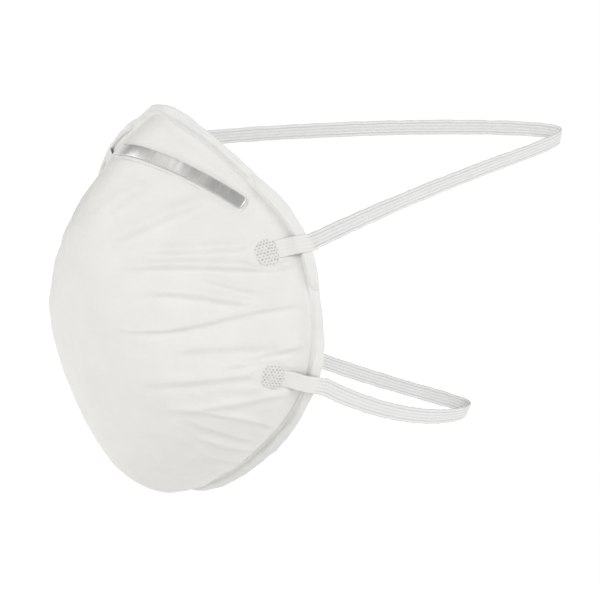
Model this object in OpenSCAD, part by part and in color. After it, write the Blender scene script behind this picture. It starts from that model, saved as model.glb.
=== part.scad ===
// Disposable cup-shaped dust mask with two elastic head straps.
// Frame: +Z up as worn, the dome points to -Y, +X is the wearer's left.
// The origin is the centre of the face opening.

/* [Cup] */
// Half width that the weld line's control points are scaled to
rim_half_w = 61; // [56:1:66]
// Half height that the weld line's control points are scaled to
rim_half_h = 70; // [64:1:76]
// Distance of the dome's front from the opening's centre
cup_depth = 41; // [37:1:48]
// Height of the dome's front above the origin
dome_z = 1; // [0:1:12]

/* [Layers] */
// Thickness of the soft outer cover web
cover_t = 0.5; // [0.3:0.1:0.8]
// Thickness of the filter web
filter_t = 0.6; // [0.4:0.1:1]
// Thickness of the stiff moulded support shell
shell_t = 1.2; // [0.8:0.1:1.5]
// Thickness of the inner lining
lining_t = 0.4; // [0.3:0.1:0.6]
// Clearance left between neighbouring layers
layer_gap = 0.05; // [0.03:0.01:0.08]

/* [Edge flange] */
// Width of the heat-sealed edge outside the weld line
flange_w = 4; // [3:0.5:5]
// Thickness of the sealed edge at its rim
flange_t = 1.1; // [0.8:0.1:1.4]
// Thickness of the sealed edge at its root
flange_root_t = 1.6; // [1.2:0.1:2]
// Angle that the sealed edge sweeps back from the opening's plane
flange_angle = 35; // [25:1:45]

/* [Nose fitting] */
// Width of the bendable metal strip
clip_w = 4; // [3.5:0.5:6]
// Thickness of the bendable metal strip
clip_t = 0.6; // [0.5:0.1:1]
// Share of the way round the rim that each half of the strip covers
clip_reach = 0.128; // [0.11:0.002:0.14]
// Thickness of the glue film under the strip
glue_t = 0.15; // [0.1:0.01:0.2]
// Width of the foam pad inside the nose
foam_w = 14; // [10:1:18]
// Thickness of the foam pad at its middle
foam_t = 3.5; // [2:0.5:5]

/* [Straps] */
// Width of the flat elastic band
strap_w = 5.5; // [4.5:0.5:6]
// Thickness of the flat elastic band
strap_t = 0.8; // [0.6:0.1:1]
// Where the upper strap crosses the rim, as a share of the way round from the nose
upper_rim_at = 0.186; // [0.176:0.001:0.2]
// Where the lower strap crosses the rim, as a share of the way round from the nose
lower_rim_at = 0.2895; // [0.28:0.0005:0.3]
// Distance of the upper strap's far end behind the opening
upper_reach = 175; // [150:1:200]
// Height of the upper strap's far end
upper_end_z = 14; // [0:1:40]
// Distance of the lower strap's far end behind the opening
lower_reach = 131; // [110:1:150]
// Height of the lower strap's far end
lower_end_z = -85; // [-100:1:-60]

/* [Hidden] */

// Control points of the weld line, from the nose round the left cheek to the chin:
// [share of the half width, setback in mm, share of the half height].
RIM_HALF = [[0, -9, 1], [0.23, 1, 0.86], [0.54, 6, 0.69], [0.82, 10, 0.53], [1, 5, 0.1],
    [0.935, 2, -0.19], [0.72, -1, -0.47], [0.38, -2, -0.77], [0, -5, -1.01]];
HALF = len(RIM_HALF) - 1;
RING = 2 * HALF;

// How the cup's section changes round the rim, in powers of the cosine of the place on it:
// a higher swell keeps the front flat, and a higher turn rounds the wall at the rim.
SWELL = [2.2, 0.85, 0.55, 0];
TURN = [1, -0.8, 0.5, 0.2];

// Facets round the rim and from the rim to the dome's front.
AROUND = 80;
RISE = 12;

// Depth of each layer's outer face under the cup's outer surface, and the whole wall.
filter_at = cover_t + layer_gap;
shell_at = filter_at + filter_t + layer_gap;
lining_at = shell_at + shell_t + layer_gap;
wall_t = lining_at + lining_t;

// Small steps that the tangents are measured over.
STEP_U = 0.002;
STEP_S = 0.01;
STEP_X = 0.05;

// Rings along each half of the metal strip, each half of the foam pad, and each strap loop.
CLIP_STEPS = 18;
FOAM_STEPS = 14;
STRAP_STEPS = 44;

// The metal strip's place on the nose bridge, its bend a little to the wearer's right, how
// steeply it runs to the rim, how softly it bends, and its corner cut.
CLIP_BRIDGE = 0.348;
CLIP_APEX = -0.02;
CLIP_SLOPE = 0.84;
CLIP_BEND = 0.0002;
CLIP_CORNER_AT = 0.97;
CLIP_CORNER_CUT = 1.2;
GLUE_INSET = 0.6;

// Over the nose the sealed edge stands up more and is narrower, fading out between two places.
FLANGE_NOSE_TURN = 15;
FLANGE_NOSE_CUT = 0.6;
NOSE_FADE = [0.11, 0.165];

// The foam pad: how far it reaches, its thin edge, its gap to the lining, points across half
// of its section, and how much the lining curves away under its long edges.
FOAM_REACH = 0.115;
FOAM_EDGE_T = 0.8;
FOAM_GAP = 0.2;
FOAM_ACROSS = 4;
FOAM_BED = 0.09;
FOAM_END_SHARE = 0.12;

// Clearances of a strap: over the flange, from the cover, and between its fixed end and its loop.
STRAP_OVER_RIM = 0.85;
STRAP_LIFT = 0.08;
STRAP_CLEAR = 0.35;
STRAP_PAST_RIM = 1.2;

// A fixed end runs on past its weld spot by this [s, u], and leaves the cover at this s, this
// share of the way from its weld spot's u to its crossing's u.
WELD_TAIL = [0.075, -0.004];
LEAVES_COVER = 0.19;
LEAVES_COVER_SHARE = 0.3;

// Angles of the rings in each loop's round ends.
END_ANGLES = [12, 35, 60];

// Each strap: [place on the rim, reach, tip height, sag, tip radius, weld spot as [s, u], roll].
UPPER = [upper_rim_at, upper_reach, upper_end_z, -2.3, 11.5, [0.276, 0.1797], [-0.3, 0, 0.95]];
LOWER = [lower_rim_at, lower_reach, lower_end_z, 5.2, 9, [0.256, 0.2837], [0.1, 0, 1]];
function crosses_at(strap) = strap[0];
function loop_tip(strap) = [0, strap[1], strap[2]];
function sag(strap) = strap[3];
function tip_radius(strap) = strap[4];
function weld_spot(strap) = strap[5];
function roll(strap, side) = side > 0 ? strap[6] : flip(strap[6]);

function unit(v) = v / norm(v);
function flip(p) = [-p[0], p[1], p[2]];
function mix(a, b, k) = a + (b - a) * k;

// Weld line: a closed cubic B-spline through the mirrored control points.
function rim_control(i) =
    let (k = (i % RING + RING) % RING,
        p = k <= HALF ? RIM_HALF[k] : flip(RIM_HALF[RING - k]))
    [p[0] * rim_half_w, p[1], p[2] * rim_half_h];

function rim_point(u) =
    let (x = u * RING, i = floor(x), t = x - i)
    (rim_control(i - 1) * pow(1 - t, 3)
        + rim_control(i) * (3 * pow(t, 3) - 6 * pow(t, 2) + 4)
        + rim_control(i + 1) * (-3 * pow(t, 3) + 3 * pow(t, 2) + 3 * t + 1)
        + rim_control(i + 2) * pow(t, 3)) / 6;

function round_rim_value(v, u) =
    let (c = cos(360 * u)) v[0] + v[1] * c + v[2] * c * c + v[3] * pow(c, 3);

// Outer surface of the cup: u runs round the rim from the nose, s from the rim (0) to the front (1).
// Its two powers make the nose slope long, the cheeks even and the chin round.
function cup_point(s, u) =
    let (r = rim_point(u), w = cos(90 * s),
        h = pow(max(0, 1 - pow(w, round_rim_value(SWELL, u))), 1 / round_rim_value(TURN, u)))
    [r[0] * w, r[1] * (1 - h) - cup_depth * h, dome_z * (1 - w) + r[2] * w];

function cup_normal(s, u) =
    s > 1 - STEP_S ? [0, -1, 0] :
    let (round_rim = cup_point(s, u + STEP_U) - cup_point(s, u - STEP_U),
        to_front = cup_point(s + STEP_S, u) - cup_point(max(0, s - STEP_S), u))
    unit(cross(to_front, round_rim));

function cup_skin(s, u, lift) = cup_point(s, u) + lift * cup_normal(s, u);

// Directions at the weld line: away from the dome, and out along the flange.
function rim_back(u) = unit(cup_point(0, u) - cup_point(2 * STEP_S, u));
function rim_along(u) = unit(rim_point(u + STEP_U) - rim_point(u - STEP_U));
function over_nose(u) =
    let (k = (NOSE_FADE[1] - abs(u - round(u))) / (NOSE_FADE[1] - NOSE_FADE[0]),
        t = min(1, max(0, k)))
    t * t * (3 - 2 * t);
function flange_dir(u) =
    let (d = rim_along(u),
        out = unit([-d[2], 0, d[0]]),
        angle = flange_angle - FLANGE_NOSE_TURN * over_nose(u),
        v = out * cos(angle) + [0, 1, 0] * sin(angle))
    unit(v - (v * d) * d);

// Triangles between two neighbouring rings of n points, and the fans that close a ring.
function ring_faces(a, b, n) = [for (j = [0:n - 1]) let (k = (j + 1) % n)
    each [[a + j, b + j, b + k], [a + j, b + k, a + k]]];
function fan_faces(a, n) = [for (j = [1:n - 2]) [a, a + j, a + j + 1]];
function turned(faces) = [for (f = faces) [f[2], f[1], f[0]]];
function joined(lists) = [for (l = lists) each l];

// A solid swept through rings of equal point counts, open with flat ends or closed on itself.
module swept(rings, closed = false) {
    n = len(rings[0]);
    last = len(rings) - 1;
    sides = joined([for (i = [0:last - 1]) ring_faces(i * n, (i + 1) * n, n)]);
    ends = closed ? ring_faces(last * n, 0, n) : concat(fan_faces(0, n), turned(fan_faces(last * n, n)));
    polyhedron(points = joined(rings), faces = concat(sides, ends));
}

// One layer of the cup between two depths under the outer surface.
module cup_layer(depth, t) {
    outer = [for (i = [0:RISE - 1], j = [0:AROUND - 1]) cup_skin(i / RISE, -j / AROUND, -depth)];
    inner = [for (i = [0:RISE - 1], j = [0:AROUND - 1]) cup_skin(i / RISE, -j / AROUND, -depth - t)];
    count = RISE * AROUND;
    front = 2 * count;
    back = front + 1;
    tips = [[0, -cup_depth + depth, dome_z], [0, -cup_depth + depth + t, dome_z]];
    grid = joined([for (i = [0:RISE - 2]) ring_faces(i * AROUND, (i + 1) * AROUND, AROUND)]);
    cap = [for (j = [0:AROUND - 1])
        [(RISE - 1) * AROUND + j, front, (RISE - 1) * AROUND + (j + 1) % AROUND]];
    inner_grid = [for (f = turned(grid)) [f[0] + count, f[1] + count, f[2] + count]];
    inner_cap = [for (f = turned(cap)) [f[0] + count, back, f[2] + count]];
    edge = ring_faces(count, 0, AROUND);
    polyhedron(points = concat(outer, inner, tips),
        faces = concat(grid, cap, inner_grid, inner_cap, edge));
}

// Cross section of the sealed edge at u.
function flange_ring(u) =
    let (o = cup_point(0, u), n = cup_normal(0, u), t = rim_back(u), v = flange_dir(u),
        seam = 2 * layer_gap,
        thick = unit(t - (t * v) * v),
        edge = o + (flange_w - FLANGE_NOSE_CUT * over_nose(u)) * v,
        root = o - wall_t * n)
    [o + seam * t, edge, edge + flange_t * thick, root + flange_root_t * t, root + seam * t];

// A flat band's cross section from its centre, half width vector and half thickness vector.
function band_ring(p, w, n) = [p - w - n, p + w - n, p + w + n, p - w + n];

// The metal strip crosses the nose bridge and comes nearer to the rim towards its ends.
function clip_s(u) = CLIP_BRIDGE - sqrt(pow(CLIP_SLOPE * (u - CLIP_APEX), 2) + CLIP_BEND);
function clip_along(u) =
    unit(cup_point(clip_s(u + STEP_U), u + STEP_U) - cup_point(clip_s(u - STEP_U), u - STEP_U));
function clip_ring(u, w, lift, t) =
    let (s = clip_s(u), n = cup_normal(s, u), across = unit(cross(n, clip_along(u))))
    band_ring(cup_skin(s, u, lift + t / 2), across * w / 2, n * t / 2);

function clip_width(k) = k > CLIP_CORNER_AT ? clip_w - CLIP_CORNER_CUT : clip_w;

module clip_strip(lift, t, inset) {
    swept([for (i = [-CLIP_STEPS:CLIP_STEPS]) let (k = i / CLIP_STEPS)
        clip_ring(k * clip_reach, clip_width(abs(k)) - inset, lift, t)]);
}

// The foam pad follows the lining under the metal strip and thins out to its edges.
function foam_ring(u) =
    let (k = abs(u) / FOAM_REACH,
        half = foam_w / 2 * sqrt(max(FOAM_END_SHARE, 1 - pow(k, 4))),
        n = cup_normal(clip_s(u), u), across = unit(cross(n, clip_along(u))),
        base = cup_skin(clip_s(u), u, -wall_t - FOAM_GAP),
        crown = (foam_t - FOAM_EDGE_T) * sqrt(max(0, 1 - k * k)))
    concat(
        [for (i = [0:FOAM_ACROSS]) let (x = 2 * i / FOAM_ACROSS - 1)
            base + across * half * x - n * foam_bed(x, half)],
        [for (i = [FOAM_ACROSS:-1:0]) let (x = 2 * i / FOAM_ACROSS - 1)
            base + across * half * x - n * (foam_bed(x, half) + FOAM_EDGE_T + crown * (1 - x * x))]);
function foam_bed(x, half) = FOAM_BED * half * x * x;

// Where a strap crosses the flange, which way its left leg runs from there, and where it swings.
function over_rim(strap) =
    let (u = crosses_at(strap), v = flange_dir(u), edge = cup_point(0, u) + flange_w * v)
    edge + STRAP_OVER_RIM * unit(v + cup_normal(0, u));
function leg_dir(strap) = unit(loop_tip(strap) - over_rim(strap));
function pivot(strap) =
    over_rim(strap) + (STRAP_PAST_RIM + STRAP_CLEAR + strap_w / 2) * leg_dir(strap);

// Loop centre line at the distance x from the middle: nearly straight legs that meet in a round
// tip, with a little sag or arch. The share is 0 at the tip and 1 at the pivots.
function loop_share(x, strap) =
    let (half = pivot(strap)[0], r = tip_radius(strap))
    (sqrt(x * x + r * r) - r) / (sqrt(half * half + r * r) - r);
function loop_point(x, strap) =
    let (k = loop_share(x, strap), a = pivot(strap), b = loop_tip(strap))
    [x, mix(b[1], a[1], k), mix(b[2], a[2], k) - sag(strap) * 4 * k * (1 - k)];
function loop_along(x, strap) = unit(loop_point(x + STEP_X, strap) - loop_point(x - STEP_X, strap));

// Width direction: rolled to suit the rim at the pivots and square to the loop's plane at its tip.
function loop_width(x, strap) =
    let (a = pivot(strap), b = loop_tip(strap), square = unit([0, a[2] - b[2], b[1] - a[1]]))
    unit(mix(square, roll(strap, x), pow(loop_share(x, strap), 3)));

// A band's ring at a point, square to the way it runs and as near as possible to a width direction.
function strap_ring(p, along, width, half) =
    let (n = unit(cross(along, width)))
    band_ring(p, unit(cross(n, along)) * half, n * strap_t / 2);

// Rings stand closer together at the tip. Each leg has a round end about its pivot.
function loop_place(k, strap) = pivot(strap)[0] * sign(k) * pow(abs(k), 1.5);
function round_end(strap, side) =
    let (x = side * pivot(strap)[0],
        along = unit(loop_point(x - side * STEP_X, strap) - loop_point(x, strap)))
    [for (g = END_ANGLES) strap_ring(loop_point(x, strap) - along * strap_w / 2 * cos(g),
        along, roll(strap, side), strap_w / 2 * sin(g))];

// The left end's rings, made from its pivot inwards, are put in the order and the turn of the rest.
function put_last(rings) = [for (i = [len(rings) - 1:-1:0]) let (r = rings[i]) [r[3], r[2], r[1], r[0]]];

module strap_loop(strap) {
    middle = [for (i = [-STRAP_STEPS / 2:STRAP_STEPS / 2])
        let (x = loop_place(2 * i / STRAP_STEPS, strap))
        strap_ring(loop_point(x, strap), loop_along(x, strap), loop_width(x, strap), strap_w / 2)];
    swept(concat(round_end(strap, -1), middle, put_last(round_end(strap, 1))));
}

// Fixed end of a strap: flat on the cover at its weld, over the rim and just past it.
// Each station is [point, direction the band faces].
function end_stations(strap) =
    let (s = weld_spot(strap)[0], u = weld_spot(strap)[1],
        lift = STRAP_LIFT + strap_t / 2,
        low_u = mix(u, crosses_at(strap), LEAVES_COVER_SHARE),
        low = cup_skin(LEAVES_COVER, low_u, lift),
        rim = over_rim(strap),
        face = unit(flange_dir(crosses_at(strap)) + cup_normal(0, crosses_at(strap))),
        loop_face = unit(cross(leg_dir(strap), roll(strap, 1))))
    [[cup_skin(s + WELD_TAIL[0], u + WELD_TAIL[1], lift), cup_normal(s + WELD_TAIL[0], u)],
        [cup_skin(s, u, lift), cup_normal(s, u)],
        [low, cup_normal(LEAVES_COVER, u)],
        [mix(low, rim, 0.5), unit(cup_normal(s, u) + face)],
        [rim, face],
        [rim + STRAP_PAST_RIM * leg_dir(strap), loop_face * face > 0 ? loop_face : -loop_face]];

module strap_end(strap) {
    stations = end_stations(strap);
    last = len(stations) - 1;
    swept([for (i = [0:last])
        let (along = unit(stations[min(last, i + 1)][0] - stations[max(0, i - 1)][0]))
        strap_ring(stations[i][0], along, cross(stations[i][1], along), strap_w / 2)]);
}

module mirrored() {
    mirror([1, 0, 0]) children();
}

module outer_cover() { color([0.93, 0.93, 0.91]) cup_layer(0, cover_t); }
module filter_web() { color([0.97, 0.97, 0.98]) cup_layer(filter_at, filter_t); }
module support_shell() { color([0.90, 0.90, 0.87]) cup_layer(shell_at, shell_t); }
module inner_lining() { color([0.95, 0.95, 0.94]) cup_layer(lining_at, lining_t); }
module rim_flange() {
    color([0.89, 0.89, 0.87]) swept([for (j = [0:AROUND - 1]) flange_ring(-j / AROUND)], true);
}
module nose_clip() { color([0.69, 0.69, 0.68]) clip_strip(glue_t + 2 * layer_gap, clip_t, 0); }
module clip_adhesive() { color([0.93, 0.91, 0.82]) clip_strip(layer_gap, glue_t, GLUE_INSET); }
module nose_foam() {
    color([0.94, 0.94, 0.92])
        swept([for (i = [FOAM_STEPS:-1:-FOAM_STEPS]) foam_ring(i / FOAM_STEPS * FOAM_REACH)]);
}
module upper_strap() { color([0.90, 0.90, 0.88]) strap_loop(UPPER); }
module lower_strap() { color([0.90, 0.90, 0.88]) strap_loop(LOWER); }
module upper_left_strap_end() { color([0.88, 0.88, 0.86]) strap_end(UPPER); }
module upper_right_strap_end() { color([0.88, 0.88, 0.86]) mirrored() strap_end(UPPER); }
module lower_left_strap_end() { color([0.88, 0.88, 0.86]) strap_end(LOWER); }
module lower_right_strap_end() { color([0.88, 0.88, 0.86]) mirrored() strap_end(LOWER); }

outer_cover();
filter_web();
support_shell();
inner_lining();
rim_flange();
nose_clip();
clip_adhesive();
nose_foam();
upper_strap();
lower_strap();
upper_left_strap_end();
upper_right_strap_end();
lower_left_strap_end();
lower_right_strap_end();
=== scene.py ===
"""Looks of the disposable dust mask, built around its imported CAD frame.

Shapes are worked out in millimetres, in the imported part's own frame: +Z is up as worn, the dome
points to -Y and +X is the wearer's left. u runs round the rim from the nose (0) by the wearer's
left (0.25) and the chin (0.5); s runs from the weld line at the rim (0) to the dome's front (1).
"""
from math import cos, pi, radians, sin

import bpy
import numpy as np
from mathutils import Matrix, Vector


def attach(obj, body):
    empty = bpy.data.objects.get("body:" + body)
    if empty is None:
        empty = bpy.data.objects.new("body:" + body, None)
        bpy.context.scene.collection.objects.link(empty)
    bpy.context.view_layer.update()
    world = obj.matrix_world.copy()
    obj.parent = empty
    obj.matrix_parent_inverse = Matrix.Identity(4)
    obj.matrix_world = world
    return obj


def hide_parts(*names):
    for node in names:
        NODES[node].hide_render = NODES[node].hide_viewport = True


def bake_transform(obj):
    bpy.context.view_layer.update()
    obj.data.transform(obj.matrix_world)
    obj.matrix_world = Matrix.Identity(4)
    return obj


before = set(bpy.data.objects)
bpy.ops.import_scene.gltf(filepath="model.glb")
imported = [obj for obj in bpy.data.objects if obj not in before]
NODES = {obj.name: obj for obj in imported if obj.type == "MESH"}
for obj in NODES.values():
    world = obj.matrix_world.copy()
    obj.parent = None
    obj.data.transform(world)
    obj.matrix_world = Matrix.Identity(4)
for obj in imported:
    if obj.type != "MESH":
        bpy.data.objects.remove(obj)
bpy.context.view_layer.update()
MM = 0.001

# The cup, as in the CAD model.
RIM_HALF_W, RIM_HALF_H = 61, 70
RIM_HALF = np.array([
    [0, -9, 1], [0.23, 1, 0.86], [0.54, 6, 0.69], [0.82, 10, 0.53], [1, 5, 0.1],
    [0.935, 2, -0.19], [0.72, -1, -0.47], [0.38, -2, -0.77], [0, -5, -1.01]])
RING = 2 * (len(RIM_HALF) - 1)
CUP_DEPTH, DOME_Z = 41, 1
SWELL = (2.2, 0.85, 0.55, 0)
TURN = (1, -0.8, 0.5, 0.2)
COVER_T, WALL_T, LINING_T = 0.5, 2.85, 0.4
STEP_U, STEP_S = 0.002, 0.01

# The sealed edge, the nose fitting and the straps, as in the CAD model.
FLANGE_W, FLANGE_ANGLE = 4, radians(35)
FLANGE_NOSE_TURN, NOSE_FADE = radians(15), (0.11, 0.165)
CLIP_W, CLIP_T, CLIP_LIFT, CLIP_REACH = 4, 0.6, 0.25, 0.128
CLIP_BRIDGE, CLIP_APEX, CLIP_SLOPE, CLIP_BEND = 0.348, -0.02, 0.84, 0.0002
FOAM_W, FOAM_T, FOAM_REACH, FOAM_GAP, FOAM_EDGE_T, FOAM_BED = 14, 3.5, 0.115, 0.2, 0.8, 0.09
STRAP_W, STRAP_T, STRAP_OVER_RIM, STRAP_TO_PIVOT = 5.5, 0.8, 0.85, 4.3
LEAVES_COVER, LEAVES_COVER_SHARE, WELD_TAIL = 0.19, 0.3, (0.045, -0.0025)
UPPER = dict(rim_at=0.186, tip=(0, 175, 14), sag=-2.3, tip_radius=11.5, weld=(0.276, 0.1797),
             roll=(-0.3, 0, 0.95))
LOWER = dict(rim_at=0.2895, tip=(0, 131, -85), sag=5.2, tip_radius=9, weld=(0.256, 0.2837),
             roll=(0.1, 0, 1))

# Where round the rim the weld line turns shallow, and where it is deep again.
CALM_STARTS, CALM_ENDS = (0.76, 0.80), (0.93, 0.98)


# ---- Small maths ----

def unit(v):
    return v / np.maximum(np.linalg.norm(v, axis=-1, keepdims=True), 1e-12)


def mix(a, b, k):
    return a + (b - a) * k


def flip(p):
    return np.asarray(p, float) * (-1, 1, 1)


def facing(rows, like):
    """Directions, all turned round if the last of them points away from like."""
    return -rows if (np.atleast_2d(rows)[-1] * like).sum() < 0 else rows


def ease(x, low, high):
    """0 below low, 1 above high, and smooth between."""
    t = np.clip((x - low) / (high - low), 0, 1)
    return t * t * (3 - 2 * t)


def hump(d, width):
    return np.exp(-(d / width) ** 2)


def waves(p, size, seed, count=9):
    """Smooth random relief of unit height from plane waves about size mm long."""
    rng = np.random.default_rng(seed)
    total = np.zeros(p.shape[:-1])
    for _ in range(count):
        k = unit(rng.normal(size=3)) * rng.uniform(0.7, 1.4) * 2 * pi / size
        total += np.sin(p @ k + rng.uniform(0, 2 * pi))
    return total / np.sqrt(count / 2)


def roughen(value, p, reliefs):
    """value plus random relief, its waves given as (height, size, seed, count)."""
    for height, size, seed, count in reliefs:
        value = value + height * waves(p, size, seed, count)
    return value


def distance_to(points, path):
    """Distance of each point to the nearest point of a path, a few rows at a time."""
    flat = points.reshape(-1, 3)
    out = np.empty(len(flat))
    for start in range(0, len(flat), 4000):
        part = flat[start:start + 4000]
        out[start:start + 4000] = np.sqrt(((part[:, None] - path) ** 2).sum(-1).min(1))
    return out.reshape(points.shape[:-1])


# ---- The cup's surface ----

def rim_controls():
    left = RIM_HALF * (RIM_HALF_W, 1, RIM_HALF_H)
    return np.vstack([left, flip(left[-2:0:-1])])


RIM_CONTROLS = rim_controls()


def rim_point(u):
    x = np.asarray(u, float) * RING
    i = np.floor(x).astype(int)
    t = (x - i)[..., None]
    a, b, c, d = (RIM_CONTROLS[(i + k) % RING] for k in (-1, 0, 1, 2))
    return (a * (1 - t) ** 3 + b * (3 * t ** 3 - 6 * t ** 2 + 4)
            + c * (-3 * t ** 3 + 3 * t ** 2 + 3 * t + 1) + d * t ** 3) / 6


def cup_point(s, u):
    s, u = np.broadcast_arrays(np.asarray(s, float), np.asarray(u, float))
    r, w, c = rim_point(u), np.maximum(np.cos(s * pi / 2), 0), np.cos(2 * pi * u)
    swell, turn = (v[0] + v[1] * c + v[2] * c ** 2 + v[3] * c ** 3 for v in (SWELL, TURN))
    h = np.maximum(0, 1 - w ** swell) ** (1 / turn)
    return np.stack([r[..., 0] * w, r[..., 1] * (1 - h) - CUP_DEPTH * h,
                     DOME_Z * (1 - w) + r[..., 2] * w], -1)


def cup_normal(s, u):
    s, u = np.broadcast_arrays(np.asarray(s, float), np.asarray(u, float))
    round_rim = cup_point(s, u + STEP_U) - cup_point(s, u - STEP_U)
    to_front = cup_point(s + STEP_S, u) - cup_point(np.maximum(0, s - STEP_S), u)
    n = unit(np.cross(to_front, round_rim))
    return np.where((s > 1 - STEP_S)[..., None], (0.0, -1.0, 0.0), n)


def cup_skin(s, u, lift):
    return cup_point(s, u) + np.asarray(lift, float)[..., None] * cup_normal(s, u)


def over_nose(u):
    """1 over the nose, where the sealed edge stands up more."""
    return 1 - ease(np.abs(u - np.round(u)), *NOSE_FADE)


def calm(u):
    """1 by the right of the nose, where the weld line is shallow."""
    return ease(u, *CALM_STARTS) * (1 - ease(u, *CALM_ENDS))


def rim_frame(u):
    """At the weld line: the point, out along the flange, forwards square to it, and into the cup."""
    o = cup_point(0, u)
    along = unit(rim_point(u + STEP_U) - rim_point(u - STEP_U))
    out = unit(np.stack([-along[..., 2], 0 * u, along[..., 0]], -1))
    angle = (FLANGE_ANGLE - FLANGE_NOSE_TURN * over_nose(u))[..., None]
    v = out * np.cos(angle) + np.array([0, 1, 0]) * np.sin(angle)
    v = unit(v - (v * along).sum(-1, keepdims=True) * along)
    to_front = unit(cup_point(2 * STEP_S, u) - o)
    forwards = unit(to_front - (to_front * v).sum(-1, keepdims=True) * v)
    return o, v, forwards, -cup_normal(0 * u, u)


# ---- Meshes ----

def swept(rings, tips=None, loop=False):
    """A closed mesh through rings of points. Its ends close on a tip each, unless it is a loop."""
    rows, cols = rings.shape[:2]
    i, j = np.meshgrid(np.arange(rows if loop else rows - 1), np.arange(cols), indexing="ij")
    a, b, k = i * cols, (i + 1) % rows * cols, (j + 1) % cols
    faces = np.stack([a + j, a + k, b + k, b + j], -1).reshape(-1, 4).tolist()
    verts = rings.reshape(-1, 3)
    if loop:
        return verts, faces
    tips = np.array([rings[0].mean(0), rings[-1].mean(0)] if tips is None else tips)
    j = np.arange(cols)
    k = (j + 1) % cols
    first, last = (np.full(cols, rows * cols + t) for t in (0, 1))
    faces += np.stack([first, k, j], -1).tolist()
    faces += np.stack([last, (rows - 1) * cols + j, (rows - 1) * cols + k], -1).tolist()
    return np.vstack([verts, tips]), faces


def slab(top, bottom, keep):
    """A closed mesh between two grids of points, of the cells that keep marks. Also says which
    points of the two grids it has."""
    rows, cols = keep.shape[0] + 1, keep.shape[1] + 1
    index = np.arange(rows * cols).reshape(rows, cols)
    cell = np.argwhere(keep)
    i, j = cell[:, 0], cell[:, 1]
    quads = np.stack([index[i, j], index[i + 1, j], index[i + 1, j + 1], index[i, j + 1]], -1)
    count = rows * cols
    faces = quads.tolist() + (quads[:, ::-1] + count).tolist()
    edges = {}
    for q in quads:
        for a, b in zip(q, np.roll(q, -1)):
            if (b, a) in edges:
                del edges[(b, a)]
            else:
                edges[(a, b)] = True
    faces += [[b, a, a + count, b + count] for a, b in edges]
    verts = np.vstack([top.reshape(-1, 3), bottom.reshape(-1, 3)])
    used = np.unique([v for f in faces for v in f])
    renumber = np.full(len(verts), -1)
    renumber[used] = np.arange(len(used))
    return verts[used], [[int(renumber[v]) for v in f] for f in faces], used


def signed_volume(verts, faces):
    corners = np.array([(f[0], f[k], f[k + 1]) for f in faces for k in range(1, len(f) - 1)])
    a, b, c = (verts[corners[:, k]] for k in range(3))
    return (a * np.cross(b, c)).sum()


def make_piece(name, shape, material, facts=None):
    """A smooth-shaded object from points in mm, with its faces turned outwards. facts are named
    values per point, which the materials read."""
    verts, faces = shape
    if signed_volume(verts, faces) < 0:
        faces = [f[::-1] for f in faces]
    mesh = bpy.data.meshes.new(name)
    mesh.from_pydata((verts * MM).tolist(), [], faces)
    mesh.polygons.foreach_set("use_smooth", [True] * len(mesh.polygons))
    for fact, values in (facts or {}).items():
        attribute = mesh.attributes.new(fact, "FLOAT", "POINT")
        attribute.data.foreach_set("value", np.asarray(values, np.float32).ravel())
    mesh.materials.append(material)
    mesh.update()
    obj = bpy.data.objects.new(name, mesh)
    bpy.context.scene.collection.objects.link(obj)
    return obj


# ---- Materials ----

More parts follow.
